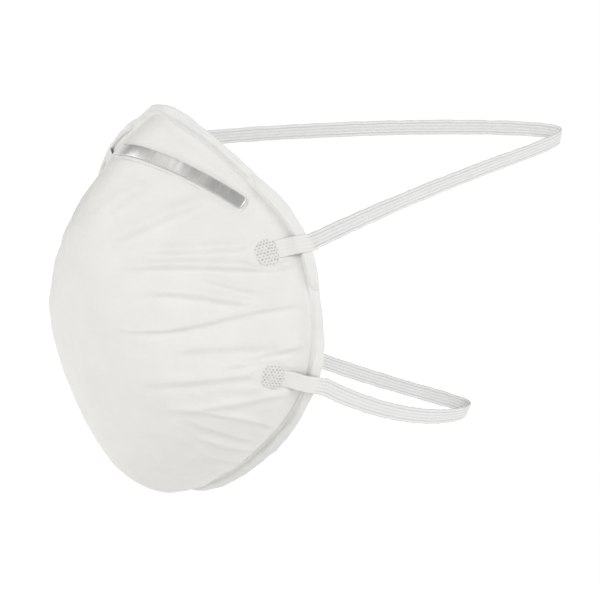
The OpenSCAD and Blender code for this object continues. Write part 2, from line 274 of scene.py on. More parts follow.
class Look:
    """A material with one Principled shader. Its maps are built from procedural nodes."""

    def __init__(self, name, **sockets):
        self.material = bpy.data.materials.new(name)
        self.material.use_nodes = True
        self.nodes, self.links = self.material.node_tree.nodes, self.material.node_tree.links
        self.shader = self.nodes["Principled BSDF"]
        for socket, value in sockets.items():
            self.shader.inputs[socket.replace("_", " ")].default_value = value

    def feed(self, socket, value):
        if isinstance(value, bpy.types.NodeSocket):
            self.links.new(value, socket)
        else:
            socket.default_value = value

    def add(self, kind, settings=None, **inputs):
        node = self.nodes.new("ShaderNode" + kind)
        for key, value in (settings or {}).items():
            setattr(node, key, value)
        for socket, value in inputs.items():
            self.feed(node.inputs[socket.replace("_", " ")], value)
        return node

    def place(self, stretch=(1, 1, 1), turn=(0, 0, 0)):
        """Object coordinates in mm, stretched and turned."""
        coordinates = self.add("TexCoord").outputs["Object"]
        scale = tuple(1000 / k for k in stretch)
        return self.add("Mapping", Vector=coordinates, Scale=scale, Rotation=turn).outputs[0]

    def fact(self, name):
        return self.add("Attribute", dict(attribute_name=name)).outputs["Fac"]

    def noise(self, size, where=None, detail=3.0):
        where = self.place() if where is None else where
        return self.add("TexNoise", Vector=where, Scale=1 / size, Detail=detail,
                        Roughness=0.55).outputs["Fac"]

    def math(self, operation, *values):
        node = self.add("Math", dict(operation=operation))
        for socket, value in zip(node.inputs, values):
            self.feed(socket, value)
        return node.outputs[0]

    def ramp(self, value, low, high, dark, light):
        """A colour from dark at low to light at high."""
        node = self.add("ValToRGB", Fac=value)
        for stop, place, colour in zip(node.color_ramp.elements, (low, high), (dark, light)):
            stop.position = place
            stop.color = (*colour, 1)
        return node.outputs["Color"]

    def blend_colour(self, share, a, b):
        """From colour a where share is 0 to colour b where it is 1."""
        node = self.add("Mix", dict(data_type="RGBA"))
        self.feed(node.inputs[0], share)
        for socket, colour in ((node.inputs[6], a), (node.inputs[7], b)):
            self.feed(socket, (*colour, 1) if isinstance(colour, tuple) else colour)
        return node.outputs[2]

    def colour(self, value):
        self.links.new(value, self.shader.inputs["Base Color"])

    def rough(self, value, low, high):
        spread = self.add("MapRange", Value=value, To_Min=low, To_Max=high).outputs[0]
        self.links.new(spread, self.shader.inputs["Roughness"])

    def relief(self, height, depth):
        """Bumps depth mm deep where height goes from 0 to 1, on top of any relief made before."""
        before = self.shader.inputs["Normal"]
        bump = self.add("Bump", Height=height, Strength=1.0, Distance=depth * MM)
        if before.is_linked:
            self.links.new(before.links[0].from_socket, bump.inputs["Normal"])
        self.links.new(bump.outputs[0], before)


def web_look(name, light, dark, fibre=0.03, mottle=0.05):
    """Non-woven web: matted fibres that lie mostly round the cup, with soft mottling."""
    look = Look(name, Roughness=0.92, Sheen_Weight=0.15, Sheen_Roughness=0.6,
                Specular_IOR_Level=0.2)
    cloud = look.noise(9, detail=4)
    look.colour(look.ramp(cloud, 0.3, 0.7, dark, light))
    across = look.noise(0.5, look.place((1, 2.6, 1), (0.3, 0.2, 0.5)), detail=4)
    along = look.noise(0.5, look.place((2.2, 1, 1.2), (0.9, 0.4, -0.6)), detail=4)
    matted = look.math("MULTIPLY", across, along)
    look.relief(matted, fibre * 4)
    look.relief(look.noise(2.2, detail=2), mottle)
    look.rough(cloud, 0.86, 0.98)
    return look


def cover_look():
    look = web_look("cover_web", (0.715, 0.705, 0.68), (0.69, 0.68, 0.655))
    return look.material


def lining_look():
    look = web_look("lining_web", (0.88, 0.88, 0.87), (0.84, 0.84, 0.83), fibre=0.02)
    return look.material


def filter_look():
    look = web_look("filter_web", (0.93, 0.93, 0.94), (0.9, 0.9, 0.92), fibre=0.015, mottle=0.02)
    return look.material


def felt_look():
    look = web_look("moulded_felt", (0.84, 0.84, 0.81), (0.78, 0.78, 0.75), fibre=0.05)
    return look.material


def sealed_edge_look():
    look = Look("sealed_edge", Roughness=0.6, Specular_IOR_Level=0.35, Sheen_Weight=0.05)
    cloud = look.noise(5, detail=3)
    look.colour(look.ramp(cloud, 0.3, 0.7, (0.68, 0.68, 0.665), (0.72, 0.72, 0.70)))
    look.relief(look.noise(0.7, detail=3), 0.05)
    look.rough(look.noise(1.5), 0.5, 0.75)
    return look.material


def aluminium_look():
    look = Look("soft_aluminium", Metallic=1.0, Anisotropic=0.4)
    grain = look.noise(0.12, look.place((1, 14, 14)), detail=3)
    look.colour(look.ramp(grain, 0.35, 0.65, (0.66, 0.66, 0.645), (0.76, 0.76, 0.745)))
    look.relief(grain, 0.004)
    look.relief(look.noise(4), 0.02)
    look.rough(grain, 0.36, 0.44)
    return look.material


def glue_look():
    look = Look("glue_film", Specular_IOR_Level=0.4)
    cloud = look.noise(1.2)
    look.colour(look.ramp(cloud, 0.3, 0.7, (0.66, 0.655, 0.635), (0.70, 0.695, 0.67)))
    look.relief(cloud, 0.02)
    look.rough(cloud, 0.4, 0.6)
    return look.material


def foam_look():
    look = Look("foam", Roughness=0.95, Sheen_Weight=0.1)
    cells = look.add("TexVoronoi", Vector=look.place(), Scale=1 / 0.45).outputs["Distance"]
    # The borders between the cells are painted darker: painted shade in the hollows between the cells'
    # bumps.
    look.colour(look.ramp(cells, 0.0, 0.55, (0.90, 0.90, 0.89), (0.74, 0.74, 0.72)))
    look.relief(look.math("SUBTRACT", 1.0, cells), 0.14)
    look.rough(look.noise(2), 0.9, 1.0)
    return look.material


# How dark the painted shade in the grooves between the elastic's ribs is, where the band is free and
# where it is pressed flat.
GROOVE_SHADE_FREE, GROOVE_SHADE_LAID = 0.42, 0.06
THREAD_PITCH, THREAD_DEPTH = 0.75, 0.05


def elastic_look():
    """Woven elastic: warp ribs come with the mesh, fine crossing threads are drawn here, and painted
    shade darkens the grooves between the ribs.
    """
    look = Look("elastic_band", Roughness=0.85, Specular_IOR_Level=0.25, Sheen_Weight=0.1)
    along, across, laid, groove_shade = (look.fact(name) for name in ("along", "across", "laid", "groove_shade"))
    weft = look.math("SINE", look.math("ADD", look.math("MULTIPLY", along, 2 * pi / THREAD_PITCH),
                                       look.math("MULTIPLY", across, pi * BAND_RIBS / STRAP_W)))
    thread = look.math("MULTIPLY_ADD", weft, 0.5, 0.5)
    look.relief(look.math("MULTIPLY", thread, look.math("SUBTRACT", 1.0, laid)), THREAD_DEPTH)
    cloud = look.noise(3)
    woven = look.ramp(cloud, 0.3, 0.7, (0.73, 0.73, 0.72), (0.76, 0.76, 0.75))
    # Painted shade in the grooves between the ribs: the colour goes toward dark grey there, strongly
    # where the band is free and faintly where it is pressed flat.
    shade = look.math("MULTIPLY_ADD", laid, GROOVE_SHADE_LAID - GROOVE_SHADE_FREE, GROOVE_SHADE_FREE)
    share = look.math("MULTIPLY", groove_shade, shade)
    colour = look.blend_colour(laid, woven, (0.70, 0.69, 0.665))
    look.colour(look.blend_colour(share, colour, (0.30, 0.30, 0.295)))
    look.rough(cloud, 0.8, 0.92)
    return look.material


def weld_look():
    look = web_look("weld_spot", (0.70, 0.69, 0.67), (0.68, 0.67, 0.65), fibre=0.02, mottle=0.01)
    flat = look.shader.inputs["Base Color"].links[0].from_socket
    # The spot is drawn darker in its pits, and darker the deeper the pit.
    look.colour(look.blend_colour(look.fact("pit"), flat, (0.33, 0.33, 0.32)))
    return look.material


# ---- The cover, with its creases ----

COVER_AROUND, COVER_RISE, COVER_BACK = 640, 118, 12
COVER_FRONT_GAP, COVER_CROWDING, COVER_BACK_END = 0.006, 1.05, 0.99
LINING_AROUND, LINING_RISE, LINING_BACK = 320, 70, 10
LINING_FRONT_GAP, LINING_BACK_END = 0.01, 0.98
RIM_LENGTH = 420

# Heights over the CAD's smooth cover: everywhere, at the lowest and how sharply it stops there, just
# inside the weld line, over the chin, and in the weld line itself.
PUFF, LOWEST, LOWEST_SHARPNESS = 0.16, -0.36, 9
RIM_PUFF, CHIN_PUFF, WELD_LINE_LIFT = 0.30, 0.5, -0.2
# Where these start and end, in mm from the rim or as s, and round the rim as u.
LIFT_STARTS, RIM_PUFF_STARTS, RIM_PUFF_ENDS = (0.8, 4.2), (1.5, 4.5), (7, 18)
CHIN_STARTS, CHIN_ENDS, SOFT_ENDS, WELD_LINE_ENDS = (2, 9), (0.4, 0.8), (0.3, 0.62), (0.9, 2.6)
CHEEKS_START, CHEEKS_END, CHIN_REACH = (0.1, 0.2), (0.8, 0.9), (0.04, 0.15)
# How far s counts in mm for the soft relief, and the least share of it, away from the cheeks.
SOFT_RISE, SOFT_LEAST = 14, 0.3
SOFT_RELIEF = [(0.16, 13, 3, 11), (0.09, 6.5, 8, 11)]
COVER_RELIEF = [(0.05, 30, 4, 9), (0.03, 7, 6, 12), (0.012, 2.6, 7, 16)]
# The lining hangs loose off the felt, from where it is held at the rim, as s, and less gathered.
LINING_GAP, LINING_LOOSE, LINING_GATHERS = 0.12, (0.03, 0.12), 0.5
LINING_RELIEF = [(0.10, 11, 21, 12), (0.05, 4, 22, 14)]
# How far in mm the strip, the straps and the weld spots hold the cover down, and where it is free.
STRIP_HOLDS, STRAP_HOLDS, SPOT_HOLDS, ROWS_ON_COVER = (2.6, 4.4), (3.0, 4.6), (4.2, 5.8), 90

# Gathers along the weld line: where round the rim they start, over how much of it, their width in
# mm, their reach up the cup, their height in mm and how much they lean.
GATHERS_FROM, GATHERS_OVER = 0.17, 0.66
GATHER_W, GATHER_REACH, GATHER_H, GATHER_LEAN = (0.9, 2.4), (0.1, 0.3), (-0.22, 0.24), (-0.02, 0.02)

# The creases' height, how they grow and fade along their length, and the right cheek's copy.
CREASE_SCALE, CREASE_GROWS, CREASE_FADES = 1.6, (-0.08, 0.28), (0.8, 1.12)
RIGHT_SHARE, RIGHT_STRETCH, RIGHT_SHIFT, CHEEK_FADE = 0.5, (1, 1, 1.06), (0, 1.5, -2.4), (0, 6)
# Creases of the left cheek as [y, z] from front to back, then the height and width of the lip
# above and the depth and width of the valley below.
CREASES = [
    ([(-34, 27.5), (-24, 28.8), (-14, 29.4), (-4, 28.2), (6.6, 29.1)], 0.80, 1.7, 0.52, 1.0),
    ([(-33, 20.4), (-25, 21.6), (-16, 20.3), (-7, 18.2)], 0.62, 2.0, 0.50, 1.3),
    ([(-38, 9.2), (-26, 11.8), (-18, 14), (-9, 16.6), (-2, 17.6), (6, 18.2)], 0.62, 0.8, 0.44, 1.3),
    ([(-30, 3.4), (-21, 5.3), (-13, 6.2), (-5, 5.2), (2.6, 5.6)], 0.46, 2.6, 0.46, 1.8),
    ([(-15, 3.0), (-8, 3.6), (-2, 5.0), (6, 7.2)], 0.46, 0.9, 0.30, 1.3),
    ([(-35, -8.6), (-26, -5.4), (-17, -3.2), (-10, -2.6), (1, 0.4)], 0.44, 2.2, 0.46, 1.6),
    ([(-20, -0.6), (-12, 1.0), (-5, 1.8), (2, 3.2)], 0.36, 1.2, 0.34, 1.2),
    ([(-30, -17), (-20, -13.8), (-11, -11.6), (-1, -10)], 0.52, 1.4, 0.30, 2.0),
    ([(-28, -15.4), (-20, -16.5), (-12, -18.7), (-2, -24.5)], 0.40, 1.2, 0.36, 1.3),
    ([(-26, -20), (-17, -24.4), (-7, -29.4)], 0.44, 1.3, 0.34, 1.4),
    ([(-22, -27.4), (-14, -30.6), (-2, -37)], 0.44, 1.4, 0.34, 1.5),
    ([(-18, -36), (-10, -39), (-3, -43)], 0.36, 1.3, 0.28, 1.4),
    ([(-35, 39.4), (-28, 45), (-19, 49.3)], 0.66, 1.6, 0.40, 1.4),
    ([(-34.5, 33.9), (-26, 38.6), (-17, 42.4), (-8, 45.2)], 0.70, 1.5, 0.44, 1.4),
    ([(-29, 32.6), (-22, 33), (-12, 33.4), (-2, 33.8)], 0.62, 1.5, 0.44, 1.2),
    ([(-18, 26.9), (-12, 24.3), (-5, 22.3)], 0.55, 1.2, 0.34, 1.3)]


def crease_lift(p, points, lip, lip_w, drop, drop_w):
    y, z = p[..., 1], p[..., 2]
    line = np.array(points, float)
    front, back = line[0, 0], line[-1, 0]
    curve = np.poly1d(np.polyfit(line[:, 0], line[:, 1], min(3, len(line) - 1)))
    on = np.clip(y, front, back)
    d = (z - curve(on)) / np.sqrt(1 + curve.deriv()(on) ** 2)
    reach = (y - front) / (back - front)
    fade = ease(reach, *CREASE_GROWS) * (1 - ease(reach, *CREASE_FADES))
    relief = lip * hump(d - 0.6 * lip_w, lip_w) - drop * hump(d + 0.5 * drop_w, drop_w)
    return CREASE_SCALE * fade * relief


def cheek_creases(p):
    """The left cheek's creases, and shallower ones at slightly other places on the right cheek."""
    left, right = ease(p[..., 0], *CHEEK_FADE), ease(-p[..., 0], *CHEEK_FADE)
    moved = flip(p) * RIGHT_STRETCH + RIGHT_SHIFT
    return sum(left * crease_lift(p, *c) + RIGHT_SHARE * right * crease_lift(moved, *c)
               for c in CREASES)


def round_gap(u, centre):
    """Distance in mm along the rim from a centre."""
    return ((u - centre + 0.5) % 1 - 0.5) * RIM_LENGTH


def puckers(s, u, seed=5, count=46):
    """Short gathers that start at the weld line."""
    rng = np.random.default_rng(seed)
    lift = np.zeros(s.shape)
    for k in range(count):
        centre = GATHERS_FROM + GATHERS_OVER * (k + rng.uniform(0, 1)) / count
        width, reach = rng.uniform(*GATHER_W), rng.uniform(*GATHER_REACH)
        height, lean = rng.uniform(*GATHER_H), rng.uniform(*GATHER_LEAN)
        gap = round_gap(u + lean * s, centre)
        lift += height * hump(gap, width) * ease(s, 0.0, 0.05) * (1 - ease(s, 0.4 * reach, reach))
    return lift


def press_away(p):
    """0 where the strip, the weld spots and the straps press the cover flat, and 1 away from them."""
    strip = distance_to(p, clip_path(STRIP_PATH))
    free = ease(strip, *STRIP_HOLDS)
    for strap in (UPPER, LOWER):
        left = half_strap(strap)[:ROWS_ON_COVER, :3]
        free = free * ease(distance_to(p, np.vstack([left, flip(left)])), *STRAP_HOLDS)
        spot = cup_point(*strap["weld"])
        for centre in (spot, flip(spot)):
            free = free * ease(np.linalg.norm(p - centre, axis=-1), *SPOT_HOLDS)
    return free


def cover_lift(s, u):
    """Height of the soft cover over the CAD cup's smooth outer surface."""
    p = cup_point(s, u)
    from_rim = np.linalg.norm(p - rim_point(u), axis=-1)
    cheeks = ease(u, *CHEEKS_START) * (1 - ease(u, *CHEEKS_END))
    strip = np.stack([RIM_LENGTH * u, SOFT_RISE * s, 0 * s], -1)
    soft = roughen(0, strip, SOFT_RELIEF)
    lift = PUFF + cheek_creases(p) + puckers(s, u)
    lift = lift + soft * mix(SOFT_LEAST, 1, cheeks) * (1 - ease(s, *SOFT_ENDS))
    lift = roughen(lift, p, COVER_RELIEF)
    rim_puff = ease(from_rim, *RIM_PUFF_STARTS) * (1 - ease(from_rim, *RIM_PUFF_ENDS))
    lift = lift + RIM_PUFF * rim_puff
    lift = LOWEST + np.logaddexp(0, (lift - LOWEST) * LOWEST_SHARPNESS) / LOWEST_SHARPNESS
    chin = 1 - ease(np.abs(u - 0.5), *CHIN_REACH)
    lift = lift + CHIN_PUFF * chin * ease(from_rim, *CHIN_STARTS) * (1 - ease(s, *CHIN_ENDS))
    weld_line = WELD_LINE_LIFT * (1 - calm(u)) * (1 - ease(from_rim, *WELD_LINE_ENDS))
    return lift * ease(from_rim, *LIFT_STARTS) * press_away(p) + weld_line


def cover():
    u = np.arange(COVER_AROUND) / COVER_AROUND
    rise = 1 - np.linspace(COVER_FRONT_GAP, 1, COVER_RISE) ** COVER_CROWDING
    s, uu = np.meshgrid(rise, u, indexing="ij")
    lift = cover_lift(s, uu)
    outer = cup_skin(s, uu, lift)
    s_in, u_in = np.meshgrid(np.linspace(0, COVER_BACK_END, COVER_BACK), u, indexing="ij")
    inner = cup_skin(s_in, u_in, np.full(s_in.shape, -COVER_T))
    tip_lift = float(lift[0].mean())
    tips = [(0, -CUP_DEPTH - tip_lift, DOME_Z), (0, -CUP_DEPTH + COVER_T, DOME_Z)]
    return swept(np.concatenate([outer, inner]), tips)


def lining():
    u = np.arange(LINING_AROUND) / LINING_AROUND
    s, uu = np.meshgrid(1 - np.linspace(LINING_FRONT_GAP, 1, LINING_RISE), u, indexing="ij")
    rumple = roughen(0, cup_point(s, uu), LINING_RELIEF)
    rumple = rumple + LINING_GATHERS * puckers(s, uu, seed=23, count=30)
    sag = np.clip(LINING_GAP + rumple, 0, 1) * ease(s, *LINING_LOOSE)
    inner = cup_skin(s, uu, -WALL_T - sag)
    s_out, u_out = np.meshgrid(np.linspace(0, LINING_BACK_END, LINING_BACK), u, indexing="ij")
    outer = cup_skin(s_out, u_out, np.full(s_out.shape, LINING_T - WALL_T))
    tips = [(0, WALL_T + LINING_GAP - CUP_DEPTH, DOME_Z),
            (0, WALL_T - LINING_T - CUP_DEPTH, DOME_Z)]
    return swept(np.concatenate([inner, outer]), tips)


# ---- The sealed edge ----

# Its section as [out along the flange, forwards, into the cup]: the pressed weld line, the bead
# beside it, the flat, the rounded rim, the back and the lip over the lining.
EDGE = [(-0.10, -0.30, 0), (0.35, -0.40, 0), (0.80, -0.34, 0), (1.20, -0.06, 0), (1.60, 0.18, 0),
        (2.00, 0.28, 0), (2.45, 0.22, 0), (2.95, 0.10, 0), (3.40, 0.02, 0), (3.78, -0.16, 0),
        (4.00, -0.48, 0), (3.94, -0.82, 0), (3.62, -1.04, 0), (3.00, -1.14, 0), (2.10, -1.26, 0),
        (1.20, -1.44, 0.1), (0.55, -1.62, 0.6), (0.15, -1.60, 1.4), (0.05, -1.30, 2.2),
        (0.05, -0.70, 2.85), (0.10, 0.20, 3.10), (0.10, 1.10, 3.02), (0.10, 1.25, 2.90),
        (0, 0.0, 2.88), (0, -0.12, 2.6), (0, -0.18, 0.3)]
# How much wider the sealed edge is than a plain 4 mm one, from the nose by the left to the chin
# and from the nose by the right, in mm.
EDGE_LEFT = [(0, -0.4), (0.015, 0.3), (0.03, 0.3), (0.05, 0), (0.08, -0.4), (0.1, -0.5),
             (0.12, 0.2), (0.14, 0.5), (0.165, 0.1), (0.186, 0), (0.203, 0.2), (0.218, -0.7),
             (0.23, -1.0), (0.243, -0.7), (0.256, 0.1), (0.29, 0), (0.316, -0.5), (0.337, 0),
             (0.36, 0.4), (0.43, 0.3), (0.46, -0.1), (0.48, -0.5), (0.5, -0.6)]
EDGE_RIGHT = [(0, -0.4), (0.02, -1.1), (0.04, -0.6), (0.06, -0.4), (0.08, 0), (0.12, -0.5),
              (0.15, -1.1), (0.18, -1.4), (0.21, -0.9), (0.25, -0.4), (0.33, -0.2),
              (0.45, -0.4), (0.5, -0.6)]
EDGE_AROUND, EDGE_SMOOTHING = 640, 0.008
# How far the bead wanders everywhere and more by the lower straps, over how many mm of the rim,
# where in the section the bead is, and how far its valley fills where the weld line is shallow.
BEAD_WANDERS, BEAD_WANDERS_LOW, LOW_REACH, BEAD_AT, VALLEY_FILL = 0.10, 0.12, 34, 1.8, 0.3
# Spans of the section, out and forwards, where the front face starts, and out, forwards and into
# the cup, where the weld line's valley ends. Then where the cut wanders and the edge bends.
FRONT_OUT, FRONT_UP = (0.9, 1.5), (-0.35, 0.05)
VALLEY_OUT, VALLEY_UP, VALLEY_IN = (0.9, 1.3), (-0.7, -0.5), (0.02, 0.2)
CUT_SPAN, BEND_SPAN = (1.2, FLANGE_W), (0.8, 3.5)
EDGE_SWELL, EDGE_WANDER = [(0.25, 9, 32, 9), (0.12, 3.2, 33, 9)], [(0.07, 7, 34, 9)]
EDGE_BEND = 0.08


def closed_curve(points, count):
    """Even points round a smooth closed curve through the given ones."""
    points = np.array(points, float)
    n = len(points)
    x = np.arange(count) / count * n
    i, t = np.floor(x).astype(int), (x % 1)[:, None]
    a, b, c, d = (points[(i + k) % n] for k in (-1, 0, 1, 2))
    return 0.5 * (2 * b + (c - a) * t + (2 * a - 5 * b + 4 * c - d) * t ** 2
                  + (3 * b - a - 3 * c + d) * t ** 3)


def edge_wider(u):
    """How much wider than a plain edge it is, in mm, as the cut wanders round the whole rim."""
    from_nose = np.abs(u - np.round(u))
    spread = np.linspace(-EDGE_SMOOTHING, EDGE_SMOOTHING, 9)[:, None]
    at = np.clip(np.abs(from_nose + spread), 0, 0.5)
    left, right = (np.interp(at, *np.array(table).T).mean(0) for table in (EDGE_LEFT, EDGE_RIGHT))
    return np.where(u < 0.5, left, right)


def sealed_edge():
    u = np.arange(EDGE_AROUND) / EDGE_AROUND
    o, out, forwards, inward = (v[:, None] for v in rim_frame(u))
    section = closed_curve(EDGE, 3 * len(EDGE))[None]
    a, b, c = (section[..., k] for k in range(3))
    where = rim_point(u)[:, None]
    near_straps = sum(hump(round_gap(at, LOWER["rim_at"]), LOW_REACH) for at in (u, -u))
    wander = (BEAD_WANDERS + BEAD_WANDERS_LOW * near_straps[:, None]) * waves(where, 17, seed=31)
    swell = roughen(1, where, EDGE_SWELL)
    on_front = ease(a, *FRONT_OUT) * ease(b, *FRONT_UP)
    valley = ease(b, *VALLEY_UP) * (1 - ease(a, *VALLEY_OUT)) * (1 - ease(c, *VALLEY_IN))
    outer = ease(a, *CUT_SPAN) * roughen(edge_wider(u)[:, None], where, EDGE_WANDER)
    a = a + outer + wander * hump(a - BEAD_AT, 1.0)
    b = b + VALLEY_FILL * valley * calm(u)[:, None]
    b = mix(b, b * swell, on_front) + EDGE_BEND * waves(where, 15, seed=36) * ease(a, *BEND_SPAN)
    return swept(o + a[..., None] * out + b[..., None] * forwards + c[..., None] * inward, loop=True)


# ---- The nose fitting ----

# Points along the strip, on the path it presses the cover along, and along and across the pad.
STRIP_ALONG, STRIP_PATH, PAD_ALONG, PAD_ACROSS = 221, 161, 150, 44
CORNER_POINTS = 6
STRIP_DENTS, WIDTH_WAVES = [(0.025, 9, 41, 9), (0.012, 3, 42, 9)], [(0.08, 9, 43, 9)]
PAD_CELLS = [(0.07, 1.6, 51, 14), (0.05, 0.9, 52, 14)]
# How square the pad's ends are, how sharp its pressed edge is and how far its cells keep off it.
PAD_SQUARE, PAD_PRESSED, PAD_CELLS_END = 6, 8, 6


def clip_s(u):
    return CLIP_BRIDGE - np.sqrt((CLIP_SLOPE * (u - CLIP_APEX)) ** 2 + CLIP_BEND)


def clip_path(count):
    u = np.linspace(-CLIP_REACH, CLIP_REACH, count)
    return cup_point(clip_s(u), u)


def clip_frames(reach, count, lift):
    """Centre, across and outwards along the strip's path, and each ring's place along it in mm."""
    u = np.linspace(-reach, reach, count)
    s = clip_s(u)
    n = cup_normal(s, u)
    along = unit(cup_point(clip_s(u + STEP_U), u + STEP_U) - cup_point(clip_s(u - STEP_U), u - STEP_U))
    p = cup_skin(s, u, np.full(u.shape, lift))
    run = np.concatenate([[0], np.cumsum(np.linalg.norm(np.diff(p, axis=0), axis=1))])
    return p, unit(np.cross(n, along)), n, run


def strip_section(half_w, half_t, bevel):
    """A rectangle with round corners, as [across, outwards] for each half width."""
    turn = np.linspace(0, pi / 2, CORNER_POINTS)
    corner = np.stack([np.cos(turn), np.sin(turn)], -1) * bevel
    across, height = half_w[:, None] - bevel, half_t - bevel
    quarters = []
    for k, (sx, sy) in enumerate([(1, 1), (-1, 1), (-1, -1), (1, -1)]):
        c = corner if k % 2 == 0 else corner[::-1]
        quarters.append(np.stack([sx * (across + c[:, 0]), np.broadcast_to(
            sy * (height + c[:, 1]), (len(half_w), CORNER_POINTS))], -1))
    return np.concatenate(quarters, 1)


def flat_strip(reach, lift, width, thickness, bevel, corner, low_side=0.0):
    """A flat strip laid over the nose, its ends rounded. low_side widens it towards the dome."""
    p, across, n, run = clip_frames(reach, STRIP_ALONG, lift)
    from_end = np.clip(np.minimum(run, run[-1] - run), 0, corner)
    half_w = width / 2 - corner + np.sqrt(corner ** 2 - (corner - from_end) ** 2 + 1e-4)
    section = strip_section(half_w, thickness / 2, bevel)
    dents = roughen(0, p, STRIP_DENTS)
    toward_dome = np.sign((across * (0, 0, -1)).sum(-1))
    shift = (toward_dome * low_side / 2)[:, None] * roughen(1, p, WIDTH_WAVES)[:, None]
    a = section[..., 0] * (1 + low_side / width) + shift
    b = section[..., 1] + dents[:, None]
    return swept(p[:, None] + a[..., None] * across[:, None] + b[..., None] * n[:, None])


def nose_strip():
    return flat_strip(CLIP_REACH, CLIP_LIFT + CLIP_T / 2, CLIP_W, CLIP_T, bevel=0.16, corner=1.3)


def glue_film():
    return flat_strip(CLIP_REACH + 0.002, lift=0.12, width=CLIP_W + 0.3, thickness=0.14,
                      bevel=0.06, corner=1.2, low_side=0.9)


def nose_pad():
    """The foam pad under the nose: crowned, with its edges pressed thin and its cells showing."""
    p, across, n, _ = clip_frames(FOAM_REACH, PAD_ALONG, -WALL_T - FOAM_GAP)
    k = np.abs(np.linspace(-1, 1, PAD_ALONG))[:, None]
    half = FOAM_W / 2 * np.sqrt(np.maximum(0.02, 1 - k ** PAD_SQUARE))
    x = np.cos(np.linspace(0, pi, PAD_ACROSS))[None]
    bed = FOAM_BED * half * x * x
    crown = (FOAM_T - FOAM_EDGE_T) * np.sqrt(np.maximum(0, 1 - k * k))
    depth = bed + np.sqrt(np.maximum(0, 1 - x ** PAD_PRESSED)) * FOAM_EDGE_T + crown * (1 - x * x)
    at = p[:, None] + (across[:, None] * (half * x)[..., None])
    cells = roughen(0, at, PAD_CELLS) * (1 - x ** PAD_CELLS_END)
    top = at - n[:, None] * (depth + cells)[..., None]
    under = at - n[:, None] * bed[..., None]
    return swept(np.concatenate([top, under[:, ::-1][:, 1:-1]], 1))


# ---- The straps ----

BAND_STEP, BAND_RIBS, BAND_ACROSS, BAND_CROWDING = 0.34, 5, 26, 1.25
# How round the ribs and the band's edges are, the ribs' share of the thickness where the band is
# free and where it is pressed flat, and the weave along them.
RIB_ROUND, BAND_EDGE_ROUND, FREE_RIBS, LAID_RIBS = 0.7, 7, 0.5, 0.12
WEAVE_PITCH, WEAVE_DEPTH, RIPPLE, WIDTH_WANDERS = 1.6, 0.16, 0.05, 0.02
# Key rows along the loop's half and on the cover, and how the loop's rows crowd and turn.
LOOP_KEYS, LAID_KEYS, LOOP_CROWDING, LOOP_TURNS = 34, 12, 1.5, 3
BAND_FLAT_T, BAND_WELD_T, BAND_GAP, BAND_SUNK = 0.22, 0.12, 0.03, -0.25
# How far before the weld spot's middle, in s, the band starts to sink under it, and is down.
SINK_STARTS, SINK_ENDS = 0.055, 0.025
# How high the band rises between the cover and the rim, how much of that a tuck takes away, and how
# far the right half is tucked in.
BRIDGE_RISE, TUCK_LOWERS, RIGHT_TUCK = 0.9, 0.4, 1.2
# Distances from the band's ends in mm where its weld, its flat part and its smooth part end, and
# where it starts to ripple.
WELD_ENDS, FLAT_ENDS, SMOOTH_ENDS, RIPPLE_STARTS = (5.5, 7.5), (14, 22), (15, 20), (20, 40)


def over_rim(strap):
    o, out, _, inward = (v[0] for v in rim_frame(np.array([strap["rim_at"]])))
    return o + FLANGE_W * out + STRAP_OVER_RIM * unit(out - inward)


def leg_dir(strap):
    return unit(np.array(strap["tip"]) - over_rim(strap))


def pivot(strap):
    return over_rim(strap) + STRAP_TO_PIVOT * leg_dir(strap)


def loop_share(x, strap):
    half, r = pivot(strap)[0], strap["tip_radius"]
    return (np.sqrt(x * x + r * r) - r) / (np.sqrt(half * half + r * r) - r)


def loop_keys(strap):
    """The left half of the loop from its pivot to its tip: points and width directions."""
    a, b = pivot(strap), np.array(strap["tip"], float)
    x = a[0] * np.linspace(1, 0, LOOP_KEYS) ** LOOP_CROWDING
    k = loop_share(x, strap)
    p = np.stack([x, mix(b[1], a[1], k), mix(b[2], a[2], k) - strap["sag"] * 4 * k * (1 - k)], -1)
    square = unit(np.array([0, a[2] - b[2], b[1] - a[1]]))
    turned = mix(square, np.array(strap["roll"], float), k[:, None] ** LOOP_TURNS)
    return np.hstack([p, unit(turned)])


def smooth_path(keys, step):
    """Evenly spaced rows on a smooth curve through key rows, which start with x, y and z."""
    d = np.concatenate([[0], np.cumsum(np.linalg.norm(np.diff(keys[:, :3], axis=0), axis=1))])
    slope = np.gradient(keys, d, axis=0)
    t = np.linspace(0, d[-1], int(d[-1] / step) + 1)
    i = np.clip(np.searchsorted(d, t, side="right") - 1, 0, len(d) - 2)
    h = (d[i + 1] - d[i])[:, None]
    x = (t - d[i])[:, None] / h
    return (keys[i] * (1 + 2 * x) * (1 - x) ** 2 + slope[i] * h * x * (1 - x) ** 2
            + keys[i + 1] * x * x * (3 - 2 * x) + slope[i + 1] * h * x * x * (x - 1))


